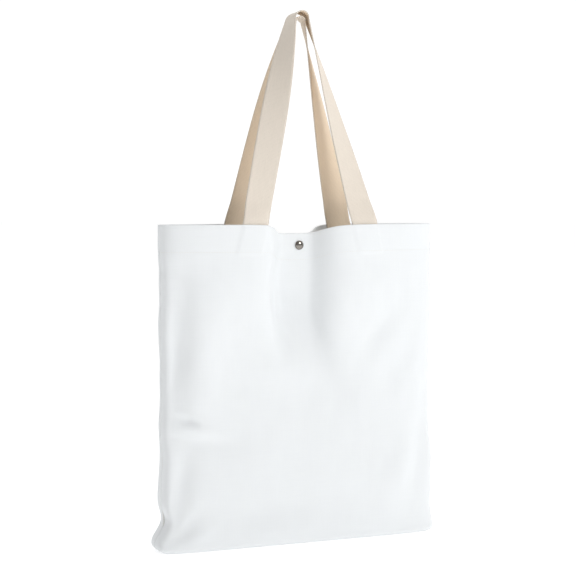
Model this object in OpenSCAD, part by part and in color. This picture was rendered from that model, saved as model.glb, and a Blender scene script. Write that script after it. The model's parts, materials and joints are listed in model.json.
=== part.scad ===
// Canvas tote bag: two canvas panels with a boxed base, a turned hem, two webbing handles and a snap.
// The bag stands on its base. X is its width, -Y its front, Z is up, and the base lies at z = 0.

/* [Bag] */
// Width of the bag between its side seams
body_w = 380; // [300:1:460]
// Height of the bag from the base to the hem's top edge
body_h = 420; // [340:1:510]
// Depth of the boxed base
base_depth = 60; // [48:1:90]
// Depth of the mouth where the handles leave it
mouth_depth = 78; // [64:1:100]
// Thickness of the canvas
canvas_t = 1; // [0.6:0.1:1.5]
// Radius of the soft fold round the base
base_fold_r = 7; // [4:0.5:12]

/* [Hem] */
// Height of the turned hem
hem_h = 37; // [28:1:50]
// Thickness of the hem's three layers
hem_t = 2.4; // [1.8:0.1:3]
// How far the hem sinks at the snap
hem_dip = 12; // [0:1:20]
// Reach of the pleat that the snap pulls into the mouth, past the flat that the snap presses
pleat_w = 24; // [16:1:34]

/* [Handles] */
// Width of the webbing
strap_w = 35; // [25:1:42]
// Thickness of the webbing
strap_t = 1.6; // [1:0.1:2.4]
// Distance between the two legs of a handle, centre to centre
leg_spacing = 144; // [120:1:170]
// How much further out the right leg of the front handle is sewn
front_leg_shift = 9; // [0:1:12]
// Height of the front handle above the hem
handle_drop = 277; // [230:1:350]
// Radius of the fold at the top of the front handle
top_fold_r = 12; // [9:0.5:14]
// How much lower the rear handle's top lies than the front handle's
handle_step = 7; // [6.5:0.5:12]
// Gap between the rear handle and the front handle round it
handle_gap = 1.8; // [1.4:0.1:3]
// How far the webbing reaches down into the hem
tuck_depth = 33; // [20:1:36]

/* [Snap] */
// Diameter of the snap's domed cap
cap_d = 12; // [10:0.5:15]
// Height of the cap's dome
cap_h = 3; // [2:0.1:4]
// Diameter of the socket and of the stud's flange
socket_d = 11; // [9:0.5:13]
// Depth of the socket
socket_h = 2.4; // [2:0.1:3]
// Diameter of the stud's head
stud_d = 4.4; // [3.6:0.1:5]
// Distance from the sunken hem edge down to the snap
snap_below_edge = 16; // [12:1:20]

/* [Hidden] */

// Clearances
seam_gap = 0.3;      // between the edges of the two panels
layer_gap = 0.3;     // between a seam and the canvas it stands on
strap_gap = 0.6;     // between webbing and the inside of the hem
fit_gap = 0.1;       // between the snap's pieces
hinge_gap = 1;       // between a handle and its sewn end

// Bag
half_w = body_w / 2;
waist_square = 5;    // squareness of the bag's plan halfway up
base_square = 9;     // squareness of its plan at the base
mouth_square = 3;    // squareness of its plan at the mouth
corner_share = 0.8;  // share of a panel's columns that lie on its face
columns = 17;        // columns on each half of a panel
base_rows = 2;
fold_rows = 3;
wall_rows = 11;
hem_rows = 3;
hem_z = body_h - hem_h;
flare_from = 0.45;   // share of the height where the depth starts to grow towards the mouth
flare_over = 0.4;    // share of the height over which it grows
pleat_from = 0.5;    // share of the height where the pleat starts
pleat_over = 0.3;
dip_from = 0.6;      // share of the height where the cloth starts to sink towards the snap
dip_over = 0.25;
pleat_edge = 4;      // how sharply the pleat ends at its reach

// Snap
snap_z = body_h - hem_dip - snap_below_edge;
flange_t = 0.9;
snap_stack = socket_h + flange_t + 4 * fit_gap;
pleat_y = snap_stack / 2 + hem_t;   // the hem's outer face at the snap
pleat_share = 1 - (pleat_y - seam_gap / 2) / (mouth_depth / 2 - seam_gap / 2);
shank_r = 1.5;
shank_hole_r = shank_r + 2 * fit_gap;
stud_r = stud_d / 2;
spring_wire_r = 0.35;
spring_r = stud_r + spring_wire_r + 3 * fit_gap;
socket_bore_r = spring_r + spring_wire_r + fit_gap;
socket_floor = 0.4;
spring_lift = 0.5;   // from the socket's floor to the spring
button_t = 1.2;
stud_reach = 1.5;    // how far the stud stands above its flange
stud_lip = 0.5;
blind_floor = 0.2;   // what is left of the stud above the post's hole
bore_over = 1;       // how far a bore's cutter runs past its piece
snap_flat = max(cap_d, socket_d) / 2 + 1;   // half width of the flat that the snap presses
flat_f = corner_share / 90 * asin(snap_flat / (half_w * pow(2, -1 / mouth_square)));

// Seams
seam_w = 8;
seam_t = 2;
seam_set_in = 0.9;   // between a side seam and the canvas beside it

// Stitching
thread_w = 0.9;
thread_t = 0.5;
thread_gap = 0.2;
stitch_inset = 2;    // above the hem's lower edge
stitch_end = 1;      // columns at each side seam without stitches

// Handles
leg_x = leg_spacing / 2;
hinge_lift = 2;      // from the hem's top edge to the middle of a handle's bend
hinge_z = body_h + hinge_lift;
handle_top = body_h + handle_drop;
rear_fold_r = top_fold_r - strap_t - handle_gap;
leg_steps = 20;
fold_steps = 10;
left_turn = 90;      // turn of the webbing at the top of the left legs
right_turn = 76;     // and at the top of the right legs
left_twist = 1.75;   // how late the turn comes, as a power of the share of the leg
right_twist = 1.05;
top_y = 3;           // distance from the middle plane at the top

function ease(t) = let (c = min(1, max(0, t))) c * c * (3 - 2 * c);
function mix(a, b, t) = a + (b - a) * t;

// Plan of the bag at height z: half depth and squareness
function half_depth(z) =
  mix(base_depth, mouth_depth, ease((z / body_h - flare_from) / flare_over)) / 2;
function squareness(z) =
  z < body_h / 2
    ? mix(base_square, waist_square, ease(2 * z / body_h))
    : mix(waist_square, mouth_square, ease(2 * z / body_h - 1));

// A bump that is 1 on the snap's flat and fades out past it
function bump(x) = 1 / (1 + pow(max(0, abs(x) - snap_flat) / pleat_w, pleat_edge));
function pleat(x, z) = pleat_share * bump(x) * ease((z / body_h - pleat_from) / pleat_over);
function dip(x, z) = hem_dip * bump(x) * ease((z / body_h - dip_from) / dip_over);

// Where a column of a panel lies; the first one beside the middle is the edge of the snap's flat
function column_f(c) =
  c == 0 ? 0 : sign(c) * mix(flat_f, 1, (abs(c) - 1) / (columns - 1));

// Unit point of a rounded rectangle's front half; f runs from -1 to 1, seam to seam
function unit_plan(f, n) =
  let (k = pow(2, -1 / n), g = abs(f))
  g <= corner_share
    ? let (x = k * sin(90 * g / corner_share)) [sign(f) * x, pow(1 - pow(x, n), 1 / n)]
    : let (y = k * sin(90 * (1 - g) / (1 - corner_share))) [sign(f) * pow(1 - pow(y, n), 1 / n), y];

// Point of the wall at height z, set in from the outer face by t
function wall_point(f, z, t) =
  let (
    n = squareness(z),
    b = half_depth(z) - seam_gap / 2,
    p = unit_plan(f, n),
    x = half_w * p.x,
    y = b * p.y * (1 - pleat(x, z)),
    nx = pow(abs(p.x), n - 1) / half_w,
    ny = pow(p.y, n - 1) / b,
    len = norm([nx, ny])
  )
  [x - sign(f) * t * nx / len, -seam_gap / 2 - max(0, y - t * ny / len), z - dip(x, z)];

// Point of the fold round the base, at a turn of 0 (on the base) to 90 (on the wall)
function fold_point(f, turn, t) =
  let (
    r = base_fold_r - t,
    inset = base_fold_r - r * sin(turn),
    p = unit_plan(f, base_square)
  )
  [
    (half_w - inset) * p.x,
    -seam_gap / 2 - (base_depth / 2 - seam_gap / 2 - inset) * p.y,
    base_fold_r - r * cos(turn)
  ];

// Point of the base, from the bottom seam at share 0 to the fold at share 1
function base_point(f, share, t) =
  let (edge = fold_point(f, 0, t))
  [
    mix(f * (half_w - base_fold_r), edge.x, share),
    mix(-seam_gap / 2, edge.y, share),
    t
  ];

// One row of a panel's points
function panel_row(row, f, inner) =
  let (
    t = inner ? canvas_t : 0,
    fold = row - base_rows,
    wall = fold - fold_rows,
    hem = wall - wall_rows - 1
  )
  fold < 0 ? base_point(f, row / base_rows, t)
  : wall < 0 ? fold_point(f, 90 * fold / fold_rows, t)
  : hem < 0 ? wall_point(f, mix(base_fold_r, hem_z - canvas_t, wall / wall_rows), t)
  : wall_point(f, mix(hem_z, body_h, hem / hem_rows), inner ? hem_t : 0);

// Closed mesh between two grids of points, outer and inner
module shell(outer, inner) {
  rows = len(outer);
  cols = len(outer[0]);
  half = rows * cols;
  function at(r, c, in) = in * half + r * cols + c;
  points = [for (grid = [outer, inner]) for (row = grid) for (p = row) p];
  skin = [
    for (r = [0 : rows - 2]) for (c = [0 : cols - 2]) each [
      [at(r, c, 0), at(r + 1, c, 0), at(r + 1, c + 1, 0)],
      [at(r, c, 0), at(r + 1, c + 1, 0), at(r, c + 1, 0)],
      [at(r, c, 1), at(r + 1, c + 1, 1), at(r + 1, c, 1)],
      [at(r, c, 1), at(r, c + 1, 1), at(r + 1, c + 1, 1)]
    ]
  ];
  ends = [
    for (c = [0 : cols - 2]) each [
      [at(0, c, 0), at(0, c + 1, 0), at(0, c + 1, 1)],
      [at(0, c, 0), at(0, c + 1, 1), at(0, c, 1)],
      [at(rows - 1, c, 0), at(rows - 1, c + 1, 1), at(rows - 1, c + 1, 0)],
      [at(rows - 1, c, 0), at(rows - 1, c, 1), at(rows - 1, c + 1, 1)]
    ]
  ];
  sides = [
    for (r = [0 : rows - 2]) each [
      [at(r, 0, 0), at(r, 0, 1), at(r + 1, 0, 1)],
      [at(r, 0, 0), at(r + 1, 0, 1), at(r + 1, 0, 0)],
      [at(r, cols - 1, 0), at(r + 1, cols - 1, 1), at(r, cols - 1, 1)],
      [at(r, cols - 1, 0), at(r + 1, cols - 1, 0), at(r + 1, cols - 1, 1)]
    ]
  ];
  polyhedron(points, concat(skin, ends, sides));
}

module panel() {
  last = base_rows + fold_rows + wall_rows + 1 + hem_rows;
  function grid(inner) = [
    for (row = [0 : last]) [for (c = [-columns : columns]) panel_row(row, column_f(c), inner)]
  ];
  difference() {
    shell(grid(false), grid(true));
    along_snap(-pleat_y - bore_over)
      cylinder(h = hem_t + 2 * bore_over, r = shank_hole_r, $fn = 32);
  }
}

// Moves a piece that is drawn along +Z on to the snap's axis, pointing from front to rear
module along_snap(y) {
  translate([0, y, snap_z]) rotate([-90, 0, 0]) children();
}

module to_rear() {
  mirror([0, 1, 0]) children();
}

// Thread line along the lower edge of the hem, just outside the canvas
module hem_thread() {
  z = hem_z + stitch_inset;
  last = columns - stitch_end;
  function line(lift, rise) = [for (c = [-last : last]) wall_point(column_f(c), z + rise, -lift)];
  shell(
    [line(thread_gap + thread_t, 0), line(thread_gap + thread_t, thread_w)],
    [line(thread_gap, 0), line(thread_gap, thread_w)]
  );
}

// A ribbon is a list of frames: centre, width direction and normal
function unit(v) = v / norm(v);
function frame_at(centre, along, across) =
  let (w = unit(across - (across * along) * along)) [centre, w, cross(along, w)];

// Distance of the hem's outer face from the middle plane, at x on the mouth
function mouth_y(x) =
  seam_gap / 2 + (mouth_depth - seam_gap) / 2
  * pow(1 - pow(x / half_w, mouth_square), 1 / mouth_square)
  * (1 - pleat(x, body_h));

// Distance of the webbing from the middle plane where it is sewn inside the hem
strap_y =
  min(mouth_y(leg_x - strap_w / 2), mouth_y(leg_x + front_leg_shift + strap_w))
  - hem_t - strap_gap - strap_t / 2;

// A handle is given by its face (-1 at the front, 1 at the rear), the radius of its fold, the height
// of its top and the distances of its left and right legs from the middle
function handle(face, r, top, left_x, right_x) = [face, r, top - strap_t / 2 - r, left_x, right_x];
function front_form() = handle(-1, top_fold_r, handle_top, leg_x, leg_x + front_leg_shift);
function rear_form() = handle(1, rear_fold_r, handle_top - handle_step, leg_x, leg_x);
function fold_r(form) = form[1];
function fold_z(form) = form[2];
function foot_x(form, side) = side < 0 ? form[3] : form[4];

// Angle of a straight leg from upright, tangent to the fold at the top; side is -1 on the left
function leg_slope(form, side) =
  let (x = foot_x(form, side), rise = fold_z(form) - hinge_z)
  atan(x / rise) - asin(fold_r(form) / norm([x, rise]));

// Turn of a leg's webbing towards the bag's depth
function leg_turn(side, share) =
  side < 0 ? left_turn * pow(share, left_twist) : right_turn * pow(share, right_twist);

// Frame of a leg's webbing, from the hem at share 0 to the fold at share 1
function leg_frame(form, side, share) =
  let (
    slope = leg_slope(form, side),
    turn = leg_turn(side, share),
    tip_x = fold_r(form) * cos(slope),
    tip_z = fold_z(form) + fold_r(form) * sin(slope)
  )
  frame_at(
    [
      side * mix(foot_x(form, side), tip_x, share),
      form[0] * mix(strap_y, top_y, share),
      mix(hinge_z + hinge_gap / 2, tip_z, share)
    ],
    [sin(slope), 0, -side * cos(slope)],
    [-side * cos(turn), -sin(turn), 0]
  );

// Frame of the fold at the top, from the left leg at share 0 to the right leg at share 1
function fold_frame(form, share) =
  let (
    around = mix(180 - leg_slope(form, -1), leg_slope(form, 1), share),
    turn = mix(left_turn, 180 - right_turn, share)
  )
  frame_at(
    [fold_r(form) * cos(around), form[0] * top_y, fold_z(form) + fold_r(form) * sin(around)],
    [sin(around), 0, -cos(around)],
    [cos(turn), -sin(turn), 0]
  );

function handle_frames(form) =
  [
    for (i = [0 : leg_steps]) leg_frame(form, -1, i / leg_steps),
    for (i = [1 : fold_steps - 1]) fold_frame(form, i / fold_steps),
    for (i = [leg_steps : -1 : 0]) leg_frame(form, 1, i / leg_steps)
  ];

// Frames of the sewn end of one leg, down inside the hem
function end_frames(form, side) =
  let (slope = leg_slope(form, side))
  [
    for (z = [body_h - tuck_depth, hinge_z - hinge_gap / 2])
      frame_at(
        [side * (foot_x(form, side) + (hinge_z - z) * tan(slope)), form[0] * strap_y, z],
        [-side * sin(slope), 0, cos(slope)],
        [1, 0, 0]
      )
  ];

module ribbon(frames) {
  function edge(f, w, n) = f[0] + f[1] * w * strap_w / 2 + f[2] * n * strap_t / 2;
  shell(
    [for (f = frames) [edge(f, 1, 1), edge(f, -1, 1)]],
    [for (f = frames) [edge(f, 1, -1), edge(f, -1, -1)]]
  );
}

module handle_ends(form) {
  for (side = [-1, 1]) ribbon(end_frames(form, side));
}

// Sub-parts
module front_panel() {
  color("white") panel();
}

module rear_panel() {
  color("white") to_rear() panel();
}

// Allowance of a side seam below the hem, standing inside the bag and wrapped in thread
module side_seam(side) {
  out = half_w - canvas_t - seam_set_in;
  low = base_fold_r + seam_w;
  translate([side > 0 ? out - seam_w : -out, -seam_gap - seam_t, low])
    cube([seam_w, seam_t, hem_z - canvas_t - layer_gap - low]);
}

module left_side_seam() {
  color("whitesmoke") side_seam(-1);
}

module right_side_seam() {
  color("whitesmoke") side_seam(1);
}

module bottom_seam() {
  reach = half_w - base_fold_r - seam_w;
  color("whitesmoke")
    translate([-reach, -seam_gap - seam_t, canvas_t + layer_gap])
      cube([2 * reach, seam_t, seam_w]);
}

module front_hem_stitching() {
  color("gainsboro") hem_thread();
}

module rear_hem_stitching() {
  color("gainsboro") to_rear() hem_thread();
}

module front_handle() {
  color("wheat") ribbon(handle_frames(front_form()));
}

module front_handle_ends() {
  color("wheat") handle_ends(front_form());
}

module rear_handle() {
  color("tan") ribbon(handle_frames(rear_form()));
}

module rear_handle_ends() {
  color("tan") handle_ends(rear_form());
}

// Domed cap on the front hem, with its shank through the canvas
module snap_cap() {
  dome_r = (pow(cap_d / 2, 2) + pow(cap_h, 2)) / (2 * cap_h);
  color("dimgray") along_snap(-pleat_y - fit_gap) {
    rotate([180, 0, 0])
      intersection() {
        cylinder(h = cap_h, r = cap_d / 2, $fn = 64);
        translate([0, 0, cap_h - dome_r]) sphere(r = dome_r, $fn = 96);
      }
    cylinder(h = hem_t + 3 * fit_gap, r = shank_r, $fn = 32);
  }
}

// Cup on the inside of the front hem that the stud snaps into
module snap_socket() {
  color("silver") along_snap(-snap_stack / 2 + fit_gap)
    difference() {
      cylinder(h = socket_h, r = socket_d / 2, $fn = 64);
      translate([0, 0, socket_floor]) cylinder(h = socket_h, r = socket_bore_r, $fn = 48);
      translate([0, 0, -bore_over]) cylinder(h = socket_h, r = shank_hole_r, $fn = 32);
    }
}

// Wire ring inside the socket that grips the stud
module snap_spring() {
  color("lightsteelblue")
    along_snap(-snap_stack / 2 + fit_gap + socket_floor + spring_lift + spring_wire_r)
      rotate_extrude($fn = 64) translate([spring_r, 0]) circle(r = spring_wire_r, $fn = 24);
}

// Flange and head on the inside of the rear hem
module snap_stud() {
  stud_h = flange_t + stud_reach;
  color("silver") along_snap(snap_stack / 2 - fit_gap)
    rotate([180, 0, 0])
      difference() {
        union() {
          cylinder(h = flange_t, r = socket_d / 2, $fn = 64);
          cylinder(h = stud_h, r = stud_r - fit_gap, $fn = 48);
          translate([0, 0, stud_h - stud_lip]) cylinder(h = stud_lip, r = stud_r, $fn = 48);
        }
        translate([0, 0, -bore_over])
          cylinder(h = bore_over + stud_h - blind_floor, r = shank_hole_r, $fn = 32);
      }
}

// Button on the outside of the rear hem, with its shank through the canvas into the stud
module snap_post() {
  color("silver") along_snap(pleat_y + fit_gap) {
    cylinder(h = button_t, r = socket_d / 2, $fn = 64);
    rotate([180, 0, 0]) cylinder(h = hem_t + flange_t + 2 * fit_gap, r = shank_r, $fn = 32);
  }
}

front_panel();
rear_panel();
left_side_seam();
right_side_seam();
bottom_seam();
front_hem_stitching();
rear_hem_stitching();
front_handle();
rear_handle();
front_handle_ends();
rear_handle_ends();
snap_cap();
snap_socket();
snap_spring();
snap_stud();
snap_post();
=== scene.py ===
"""Canvas tote bag: sewn canvas panels, webbing handles and a press snap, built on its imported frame."""

import json
import math

import bmesh
import bpy
import numpy as np
from bpy.props import FloatProperty, FloatVectorProperty, IntProperty, PointerProperty
from mathutils import Matrix, Vector, noise


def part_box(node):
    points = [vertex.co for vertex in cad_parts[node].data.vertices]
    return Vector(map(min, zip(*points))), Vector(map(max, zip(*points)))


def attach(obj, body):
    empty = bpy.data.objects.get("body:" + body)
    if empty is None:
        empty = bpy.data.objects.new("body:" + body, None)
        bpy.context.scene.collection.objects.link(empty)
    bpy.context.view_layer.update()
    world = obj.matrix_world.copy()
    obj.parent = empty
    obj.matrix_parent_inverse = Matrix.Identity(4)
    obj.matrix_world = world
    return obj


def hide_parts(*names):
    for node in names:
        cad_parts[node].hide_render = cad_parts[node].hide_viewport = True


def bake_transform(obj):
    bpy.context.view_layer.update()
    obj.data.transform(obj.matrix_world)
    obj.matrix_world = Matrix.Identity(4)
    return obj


bl_info = {
    "name": "Canvas Tote Bag",
    "version": (1, 0, 0),
    "blender": (4, 5, 0),
    "location": "View3D > Sidebar > Tote",
    "description": "Builds a canvas tote bag with webbing handles and a press snap",
    "category": "Object",
}

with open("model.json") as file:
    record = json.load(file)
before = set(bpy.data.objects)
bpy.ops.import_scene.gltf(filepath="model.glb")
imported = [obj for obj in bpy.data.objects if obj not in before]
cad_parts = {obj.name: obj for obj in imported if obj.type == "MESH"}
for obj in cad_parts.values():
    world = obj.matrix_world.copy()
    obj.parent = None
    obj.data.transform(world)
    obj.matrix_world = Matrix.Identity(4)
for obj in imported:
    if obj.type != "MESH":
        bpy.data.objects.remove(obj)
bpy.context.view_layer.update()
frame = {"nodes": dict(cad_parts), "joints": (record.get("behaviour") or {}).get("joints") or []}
MM = 0.001

PANEL_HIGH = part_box("front_panel")[1]
FRONT_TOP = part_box("front_handle")[1].z
REAR_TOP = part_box("rear_handle")[1].z
FRONT_END_LOW, FRONT_END_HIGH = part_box("front_handle_ends")
CAP_LOW, CAP_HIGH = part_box("snap_cap")
BUTTON_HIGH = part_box("snap_post")[1]
SEAM_LOW, SEAM_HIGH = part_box("left_side_seam")
BOTTOM_SEAM_LOW, BOTTOM_SEAM_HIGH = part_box("bottom_seam")
SNAP_Z = (CAP_LOW.z + CAP_HIGH.z) / 2
JOINTS = {joint["name"]: joint for joint in frame["joints"]}
BASE_HINGE_Y = JOINTS["mouth_open"]["pos_m"][1]
HANDLE_HINGE_Z = JOINTS["front_handle_swing"]["pos_m"][2]


# Settings


class ToteBagSettings(bpy.types.PropertyGroup):
    """Shape of the sewn bag"""

    half_width: FloatProperty(
        name="Half width", description="From the middle to a side seam",
        default=PANEL_HIGH.x, unit="LENGTH",
    )
    height: FloatProperty(
        name="Height", description="From the base to the hem's top edge",
        default=PANEL_HIGH.z, unit="LENGTH",
    )
    base_depth: FloatProperty(
        name="Base depth", description="Depth of the boxed base",
        default=2 * BASE_HINGE_Y, unit="LENGTH",
    )
    mouth_depth: FloatProperty(
        name="Mouth depth", description="Depth of the mouth at the handles",
        default=78 * MM, unit="LENGTH",
    )
    base_fold: FloatProperty(
        name="Base fold", description="Radius of the fold round the base",
        default=7 * MM, unit="LENGTH",
    )
    canvas: FloatProperty(
        name="Canvas", description="Thickness of the canvas",
        default=0.8 * MM, unit="LENGTH",
    )
    hem_height: FloatProperty(
        name="Hem height", description="Height of the turned hem",
        default=37 * MM, unit="LENGTH",
    )
    hem_thickness: FloatProperty(
        name="Hem thickness", description="Thickness of the hem's layers",
        default=2.4 * MM, unit="LENGTH",
    )
    hem_dip: FloatProperty(
        name="Hem dip", description="How far the hem sinks at the snap",
        default=12 * MM, unit="LENGTH",
    )
    snap_flat: FloatProperty(
        name="Snap flat", description="Half width of the flat that the snap presses",
        default=7 * MM, unit="LENGTH",
    )
    pleat_left: FloatProperty(
        name="Pleat left", description="Reach of the pleat to the left of the snap's flat",
        default=33 * MM, unit="LENGTH",
    )
    pleat_right: FloatProperty(
        name="Pleat right", description="Reach of the pleat to the right of the snap's flat",
        default=24 * MM, unit="LENGTH",
    )
    seam_allowance: FloatProperty(
        name="Seam allowance", description="Width of the cloth turned in at the seams",
        default=8 * MM, unit="LENGTH",
    )
    columns: IntProperty(
        name="Columns", description="Cloth columns from seam to seam", default=160, min=40,
    )
    rows: IntProperty(
        name="Rows", description="Cloth rows from the base fold to the hem's top", default=130, min=40,
    )
    stitch: FloatProperty(
        name="Stitch", description="Length of one stitch with its gap", default=3.2 * MM, unit="LENGTH",
    )


class ToteHandleSettings(bpy.types.PropertyGroup):
    """Shape of the webbing handles"""

    width: FloatProperty(
        name="Webbing width", description="Width of the webbing", default=35 * MM, unit="LENGTH",
    )
    thickness: FloatProperty(
        name="Webbing thickness", description="Thickness of the webbing",
        default=1.5 * MM, unit="LENGTH",
    )
    spacing: FloatProperty(
        name="Leg spacing", description="Between the legs of a handle, centre to centre",
        default=144 * MM, unit="LENGTH",
    )
    front_shift: FloatProperty(
        name="Front shift", description="How much further out the front handle's right leg is sewn",
        default=9 * MM, unit="LENGTH",
    )
    front_fold: FloatProperty(
        name="Front fold", description="Radius of the fold at the top of the front handle",
        default=12 * MM, unit="LENGTH",
    )
    rear_fold: FloatProperty(
        name="Rear fold", description="Radius of the fold at the top of the rear handle",
        default=8.6 * MM, unit="LENGTH",
    )
    left_turn: FloatProperty(
        name="Left turn", description="Turn of the webbing at the top of the left legs",
        default=math.radians(90), subtype="ANGLE",
    )
    right_turn: FloatProperty(
        name="Right turn", description="Turn of the webbing at the top of the right legs",
        default=math.radians(76), subtype="ANGLE",
    )


class ToteColours(bpy.types.PropertyGroup):
    """Colours of the bag's materials"""

    canvas: FloatVectorProperty(
        name="Canvas", description="Bleached cotton canvas", subtype="COLOR",
        default=(0.79, 0.81, 0.822),
    )
    webbing: FloatVectorProperty(
        name="Webbing", description="Outer face of the unbleached webbing", subtype="COLOR",
        default=(0.78, 0.705, 0.615),
    )
    # Painted shade: a darker, warmer copy of the webbing's colour for its inner face, standing in for the
    # shade that falls on the handles' inner faces; the webbing itself is one colour on both sides
    webbing_back: FloatVectorProperty(
        name="Webbing back", description="Inner face of the webbing", subtype="COLOR",
        default=(0.84, 0.70, 0.54),
    )
    thread: FloatVectorProperty(
        name="Thread", description="Sewing thread", subtype="COLOR", default=(0.80, 0.80, 0.78),
    )
    gunmetal: FloatVectorProperty(
        name="Gunmetal", description="Dark plated cap of the snap", subtype="COLOR",
        default=(0.24, 0.22, 0.20),
    )
    nickel: FloatVectorProperty(
        name="Nickel", description="Bright plated parts of the snap", subtype="COLOR",
        default=(0.62, 0.61, 0.58),
    )
    floor: FloatVectorProperty(
        name="Floor", description="Plain pale floor", subtype="COLOR", default=(0.95, 0.95, 0.95),
    )


# Shaders


class Value:
    """A shader socket that can be used in an expression."""

    def __init__(self, shader, socket):
        self.shader = shader
        self.socket = socket

    def _math(self, operation, *terms):
        return self.shader.add("ShaderNodeMath", {"operation": operation}, dict(enumerate(terms)))

    def __add__(self, other):
        return self._math("ADD", self, other)

    def __radd__(self, other):
        return self._math("ADD", other, self)

    def __sub__(self, other):
        return self._math("SUBTRACT", self, other)

    def __rsub__(self, other):
        return self._math("SUBTRACT", other, self)

    def __mul__(self, other):
        return self._math("MULTIPLY", self, other)

    def __rmul__(self, other):
        return self._math("MULTIPLY", other, self)

    def __mod__(self, other):
        return self._math("FLOORED_MODULO", self, other)

    def floor(self):
        return self._math("FLOOR", self)

    def sine(self):
        return self._math("SINE", self)

    def absolute(self):
        return self._math("ABSOLUTE", self)

    def power(self, other):
        return self._math("POWER", self, other)


class Shader:
    """A material whose nodes are added one by one."""

    def __init__(self, name, **fixed):
        self.material = bpy.data.materials.new(name)
        self.material.use_nodes = True
        self.tree = self.material.node_tree
        self.surface = self.tree.nodes["Principled BSDF"]
        for socket, value in fixed.items():
            self.surface.inputs[socket.replace("_", " ")].default_value = value

    def put(self, socket, value):
        if isinstance(value, Value):
            self.tree.links.new(value.socket, socket)
        else:
            socket.default_value = value

    def add(self, kind, settings=None, inputs=None, output=0):
        """Adds a node: its settings first, then the values or links of its sockets."""
        node = self.tree.nodes.new(kind)
        settings = dict(settings or {})
        stops = settings.pop("stops", ())
        for name, value in settings.items():
            setattr(node, name, value)
        for index, (place, colour) in enumerate(stops):
            known = index < len(node.color_ramp.elements)
            stop = node.color_ramp.elements[index] if known else node.color_ramp.elements.new(place)
            stop.position = place
            stop.color = (*colour, 1)
        for name, value in (inputs or {}).items():
            self.put(node.inputs[name], value)
        return Value(self, node.outputs[output])

    def mix(self, factor, first, second):
        inputs = {0: factor, 6: first, 7: second}
        return self.add("ShaderNodeMix", {"data_type": "RGBA"}, inputs, 2)

    def noise(self, vector, scale, detail=3.0, roughness=0.55):
        inputs = {"Vector": vector, "Scale": scale, "Detail": detail, "Roughness": roughness}
        return self.add("ShaderNodeTexNoise", {}, inputs)

    def stretched(self, vector, scale):
        return self.add("ShaderNodeMapping", {}, {"Vector": vector, "Scale": scale})

    def cloth(self):
        """The piece's own cloth map, in metres, and its two coordinates."""
        vector = self.add("ShaderNodeUVMap", {"uv_map": "cloth"})
        across = self.add("ShaderNodeSeparateXYZ", {}, {0: vector}, 0)
        along = self.add("ShaderNodeSeparateXYZ", {}, {0: vector}, 1)
        return vector, across, along

    def place(self):
        return self.add("ShaderNodeTexCoord", {}, {}, "Object")

    def bump(self, height, strength, distance):
        inputs = {"Height": height, "Strength": strength, "Distance": distance}
        self.put(self.surface.inputs["Normal"], self.add("ShaderNodeBump", {}, inputs))

    def finish(self, **varying):
        for socket, value in varying.items():
            self.put(self.surface.inputs[socket.replace("_", " ")], value)
        return self.material


def tint(colour, factor):
    return tuple(min(1.0, channel * factor) for channel in colour) + (1.0,)


def plain_weave(u, v, across, along):
    """Height of a plain weave, from 0 to 1; its threads lie across and along apart."""
    warp = (u * (math.pi / across)).sine().absolute().power(0.6)
    weft = (v * (math.pi / along)).sine().absolute().power(0.6)
    over = ((u * (1 / across)).floor() + (v * (1 / along)).floor()) % 2.0
    return over * warp * (0.6 + 0.4 * weft) + (1 - over) * weft * (0.6 + 0.4 * warp)


def bleached_canvas(colour):
    thread = 0.75 * MM
    shader = Shader("bleached_canvas", Sheen_Weight=0.1, Sheen_Roughness=0.5, Specular_IOR_Level=0.15)
    vector, u, v = shader.cloth()
    weave = plain_weave(u, v, thread, thread)
    warp_slubs = shader.noise(shader.stretched(vector, (900, 24, 1)), 1.0)
    weft_slubs = shader.noise(shader.stretched(vector, (24, 900, 1)), 1.0)
    clouds = shader.noise(shader.place(), 9.0, 4.0)
    slubs = (warp_slubs + weft_slubs) * 0.5
    yarn = shader.mix(slubs, tint(colour, 0.955), tint(colour, 1.03))
    aged = shader.mix(clouds * 0.12, yarn, tint(colour, 0.92))
    shader.bump(weave * 0.7 + slubs * 0.6, 0.4, 0.22 * MM)
    return shader.finish(Base_Color=aged, Roughness=0.86 + 0.1 * slubs)


def cotton_webbing(colour, name):
    rib = 1.25 * MM
    pick = 1.7 * MM
    shader = Shader(name, Sheen_Weight=0.1, Sheen_Roughness=0.5, Specular_IOR_Level=0.15)
    vector, u, v = shader.cloth()
    weave = plain_weave(u, v, rib, pick)
    yarn = shader.noise(shader.stretched(vector, (500, 60, 1)), 1.0, 4.0)
    specks = shader.noise(shader.stretched(vector, (700, 500, 1)), 1.0, 2.0)
    clouds = shader.noise(shader.place(), 22.0, 3.0)
    stops = [(0.66, (0, 0, 0)), (0.74, (1, 1, 1))]
    seeds = shader.add("ShaderNodeValToRGB", {"stops": stops}, {0: specks})
    base = shader.mix(yarn, tint(colour, 0.92), tint(colour, 1.08))
    flecked = shader.mix(seeds, base, tint(colour, 0.72))
    # Painted shade: the weave's valleys are darkened to stand for the shade between the threads
    valley_painted_shade = shader.mix(weave, tint(colour, 0.8), flecked)
    aged = shader.mix(clouds * 0.25, valley_painted_shade, tint(colour, 0.9))
    shader.bump(weave + yarn * 0.3, 0.55, 0.3 * MM)
    return shader.finish(Base_Color=aged, Roughness=0.82 + 0.12 * yarn)


def cotton_thread(colour):
    shader = Shader("cotton_thread", Sheen_Weight=0.1, Specular_IOR_Level=0.3)
    twist = shader.noise(shader.place(), 2400.0)
    shader.bump(twist, 0.4, 0.1 * MM)
    tone = shader.mix(twist, tint(colour, 0.88), tint(colour, 1.04))
    return shader.finish(Base_Color=tone, Roughness=0.7 + 0.15 * twist)


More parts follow.
